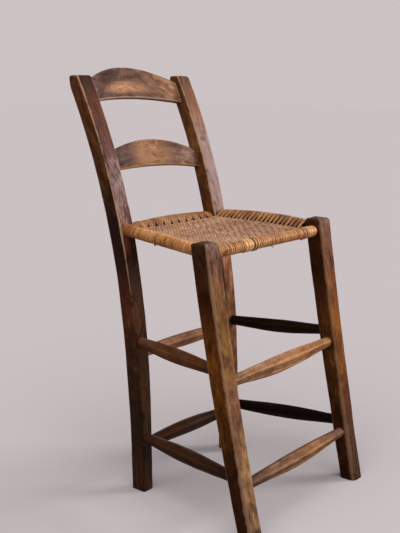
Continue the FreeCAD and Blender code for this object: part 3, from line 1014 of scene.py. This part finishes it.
def loose_end(place, share, turn, lean, length, width, tint):
    """The free end of a strand that stands off its rail. Lean is its direction: how far along
    the rail, round it and away from it."""
    along, to_seat, rise = rail_axes(place)
    out = to_seat * math.sin(turn) + rise * math.cos(turn)
    around = to_seat * math.cos(turn) - rise * math.sin(turn)
    direction = along * lean[0] + around * lean[1] + out * lean[2]
    start = rail_point(place, share) + out * (rail_radius(place, share) - cane_thickness)
    side = direction.cross(out).normalized()
    steps, droop, taper, thinning = 6, 0.25, 0.5, 0.7
    line = []
    for i in range(steps + 1):
        t = i / steps
        line.append((start + direction * (length * t) - out * (droop * length * t * t), side,
                     side.cross(direction).normalized(), 0.5 * width * (1.0 - taper * t),
                     thinning * cane_thickness, tint, 0.004 * i))
    return line


# Per rail: tone scales the cane lighter or darker by how the rail is lit, painted light and shade,
# darkest on the back and right rails; edge is how strongly the strands' edges are darkened with
# painted shade.
rail_laying = {
    "front": {"pitch": 0.0066, "widths": (0.0060, 0.0063), "shifts": (0.0,), "tone": 0.96,
              "edge": 1.0},
    "left": {"pitch": 0.0064, "widths": (0.0058, 0.0061), "shifts": (0.0,), "tone": 1.12,
             "edge": 0.45},
    "back": {"pitch": 0.0087, "widths": (0.0052, 0.0102), "shifts": (-0.0034, 0.0, 0.0034),
             "tone": 0.54, "edge": 0.15},
    "right": {"pitch": 0.0108, "widths": (0.0068, 0.0110), "shifts": (0.0,), "tone": 0.70,
              "edge": 0.6}}
extra_rings = {"front": (
    (0.285, 0.0125, 0.0007, 1.3), (0.310, 0.0125, 0.0008, 1.4), (0.332, 0.0110, 0.0007, 1.3),
    (0.358, 0.0052, 0.0015, 0.95), (0.380, 0.0052, 0.0016, 1.0), (0.818, 0.0050, 0.0014, 0.9),
    (0.838, 0.0050, 0.0014, 0.95), (0.865, 0.0130, 0.0006, 0.6), (0.890, 0.0130, 0.0006, 0.6),
    (0.915, 0.0130, 0.0006, 0.6))}
loose_ends = {
    "front": ((0.52, 3.5, (0.2, 0.5, 0.8), 0.009, 0.0045, 0.1),
              (0.80, 3.4, (-0.3, 0.6, 0.7), 0.008, 0.0045, 0.2)),
    "left": ((0.46, 3.6, (0.4, 0.5, 0.7), 0.010, 0.0045, 0.1),),
    "back": ((0.12, -0.5, (0.95, 0.1, 0.3), 0.026, 0.0024, 0.0),
             (0.62, 0.9, (0.8, 0.5, 0.3), 0.012, 0.0030, 0.9))}
ring_section = ((-1.0, 0.0), (-0.72, 0.72), (0.0, 1.0), (0.72, 0.72), (1.0, 0.0), (0.6, -0.5),
                (-0.6, -0.5))
cane_specks = [(0.30, (0.62, 0.57, 0.53)), (0.50, (1.0, 1.0, 1.0)), (0.72, (1.28, 1.28, 1.28))]


def cane_finish(name, tones, gloss, edge_shading, patchy):
    """Split cane: paler and darker strands, edges darkened with painted shade between the
    strands, and fine lines along each strand.
    """
    cane = Finish(name, Specular_IOR_Level=gloss)
    strand = cane.attribute("strand")
    across, tint, along = (cane.axis(strand, which) for which in "XYZ")
    place = cane.node("TexCoord", {}, {}, 3)
    lines = cane.grain(strand, (4.0, 9.0, 40.0), 3.0)
    spots = cane.grain(place, (210.0, 210.0, 210.0), 4.0, 0.65)
    patches = cane.grain(place, (30.0, 30.0, 30.0), 3.0, 0.6)
    pale, middle, dark = tones
    shade = tint + (patches - 0.5) * patchy + (lines - 0.5) * 0.5
    colour = cane.mix(cane.rise(shade, 0.25, 0.50), dark, middle)
    colour = cane.mix(cane.rise(shade, 0.50, 0.80), colour, pale)
    speckle = cane.node("ValToRGB", {"stops": cane_specks}, {0: spots})
    colour = cane.mix(1.0, colour, speckle, "MULTIPLY")
    # Painted shade: each strand's edges are mixed towards a near black brown, for the shade between
    # strands.
    edge = cane.rise(cane.node("Math", {"operation": "ABSOLUTE"}, {0: across}), 0.55, 1.0)
    colour = cane.mix(edge * edge_shading, colour, tuple(0.16 * value for value in dark))
    cane.put(cane.shader.inputs["Base Color"], colour)
    cane.put(cane.shader.inputs["Roughness"], (spots - 0.5) * 0.35 + 0.30)
    cane.put(cane.shader.inputs["Normal"], cane.bump(lines, 0.0004, cane.bump(spots, 0.0005)))
    return cane.material


def gap_shade_core(place):
    """A near black core under the strands on a rail: painted shade that shows in the gaps
    between them.
    """
    length, start, end = rail_span(place)
    to_seat, rise = rail_axes(place)[1:]
    stations, sides = 40, 24
    rings = []
    for j in range(stations + 1):
        share = (start + (end - start) * j / stations) / length
        radius = rail_radius(place, share) - gap_shade_inset
        outline = []
        for q in range(sides):
            turn = 2.0 * math.pi * q / sides
            outline.append((radius * math.cos(turn), radius * math.sin(turn), math.cos(turn),
                            math.sin(turn), 0.0))
        rings.append((rail_point(place, share), rise, to_seat, outline,
                      0.0 if j in (0, stations) else 1.0, share * length))
    return rolled("rail_cane_gap_shade_" + place, rings)


rail_cane_tones = ((0.70, 0.35, 0.135), (0.55, 0.235, 0.065), (0.30, 0.105, 0.020))
rail_cane_gloss = 0.32
rail_cane_patchy = 1.4
left_dark = 0.8
left_dark_reach = 0.05
# The core's near black tone is painted shade for the gaps between the strands.
gap_shade_tone = (0.010, 0.005, 0.003)
gap_shade_length = 0.4
gap_shade_tones = [(0.0, gap_shade_tone), (gap_shade_length, gap_shade_tone)]
gap_shade_finish = old_wood("gap_shade_core", gap_shade_length, gap_shade_tones, gap_shade_tones,
                        [(0.0, 0.0), (gap_shade_length, 0.0)], 30.0, 0.05, wear_and_highlight_share=0.0)
for number, (place, laying) in enumerate(rail_laying.items()):
    start, end = rail_span(place)[1:]
    pitch, shifts = laying["pitch"], laying["shifts"]
    lines = []
    distance = start + 0.5 * pitch
    while distance < end - 0.4 * pitch:
        seed = len(lines) * 0.83 + 40.0 * number
        tint = 0.5 + 0.40 * noise.noise(Vector((seed * 1.3, 3.0, 4.0)))
        if place == "left":
            tint -= left_dark * max(0.0, 1.0 - (distance - start) / left_dark_reach)
        uneven = 1.0 + 0.12 * noise.noise(Vector((seed * 2.1, 8.0, 0.0)))
        lines.append(round_rail(place, distance, shifts[len(lines) % len(shifts)],
                                [width * uneven for width in laying["widths"]], tint, seed))
        distance += pitch
    lines += [extra_ring(place, *ring, ring[0] * 9.0) for ring in extra_rings.get(place, ())]
    lines += [loose_end(place, *free_end) for free_end in loose_ends.get(place, ())]
    piece = strands("rail_cane_" + place, lines, ring_section)
    # The rail's tone scale is painted light and shade: the back and right rails' cane is darker,
    # the left rail's lighter.
    tones = [tuple(laying["tone"] * value for value in tone) for tone in rail_cane_tones]
    piece.data.materials.append(cane_finish("rail_cane_" + place, tones, 0.32, laying["edge"], 1.4))
    place_piece(piece, "cane", "cane_wrap_" + place)
    core = gap_shade_core(place)
    core.data.materials.append(gap_shade_finish)
    place_piece(core, "cane")


# Woven panel: the same strands go over two and under two of those that cross them, in steps
# that turn back along a line right of the middle. It has an upper and a lower layer, and
# the pull between the four rails holds it.
warp_count = 64
weft_count = 48
floats = 2
herringbone_axis = 0.56
weave_rise = 0.0011
strand_half_width = 0.46
strand_wander = 0.25
flat_section = ((-1.0, 0.1), (-0.55, 0.9), (0.55, 0.9), (1.0, 0.1), (0.0, -0.4))


def warp_is_over(i, j):
    """Whether a strand from back to front lies on top where it crosses one from side to side."""
    axis = round(herringbone_axis * warp_count)
    if i > axis + 2 * floats:
        return (i // floats + j // floats) % 2 == 0
    return (abs(i - axis) + j) % (2 * floats) < floats


def woven(kind, layer):
    """All strands of one direction in the upper or lower layer."""
    warp = kind == "warp"
    outer, crossed = (warp_count, weft_count) if warp else (weft_count, warp_count)
    sign = 1.0 if layer == "upper" else -1.0
    depth = weave_thickness if layer == "upper" else seat_thickness - weave_thickness
    width = (rail_point("right", 0.5) - rail_point("left", 0.5)).length
    deep = (rail_point("front", 0.5) - rail_point("back", 0.5)).length
    a_first, a_last = weave_insets["left"] / width, 1.0 - weave_insets["right"] / width
    b_first, b_last = weave_insets["back"] / deep, 1.0 - weave_insets["front"] / deep
    a_pitch, b_pitch = (a_last - a_first) / warp_count, (b_last - b_first) / weft_count
    lines = []
    for i in range(outer):
        tint = 0.5 + 0.4 * noise.noise(Vector((i * 1.91, 7.0 if warp else 2.0, sign)))
        line = []
        for step in range(2 * crossed + 1):
            moving = step / (2.0 * crossed)
            before, after = max(0, (step - 1) // 2), min(crossed - 1, step // 2)
            height = sum(0.5 if warp_is_over(*((i, q) if warp else (q, i))) == warp else -0.5
                         for q in (before, after))
            lane = i + 0.5 + strand_wander * noise.noise(
                Vector((i * 3.1, moving * 7.0, 5.0 * sign)))
            if warp:
                a = a_first + a_pitch * lane
                b = b_first + (b_last - b_first) * moving
                side = Vector((1.0, 0.0, 0.0))
                pitch = a_pitch * (seat_point(1.0, b) - seat_point(0.0, b)).length
            else:
                a = a_first + (a_last - a_first) * moving
                b = b_first + b_pitch * lane
                side = Vector((0.0, 1.0, 0.0))
                pitch = b_pitch * (seat_point(a, 1.0) - seat_point(a, 0.0)).length
            point = seat_point(a, b, depth) + upwards * (sign * weave_rise * height)
            line.append((point, side, upwards * sign, strand_half_width * pitch,
                         weave_thickness, tint, moving * 0.4 + i * 0.37))
        lines.append(line)
    return lines


seat_cane = cane_finish("seat_cane", ((0.76, 0.46, 0.30), (0.53, 0.28, 0.15), (0.29, 0.125, 0.06)),
                        0.25, 0.9, 0.7)
for layer in ("upper", "lower"):
    for kind in ("warp", "weft"):
        piece = strands("seat_%s_%s" % (kind, layer), woven(kind, layer), flat_section)
        piece.data.materials.append(seat_cane)
        place_piece(piece, "cane", "woven_seat")
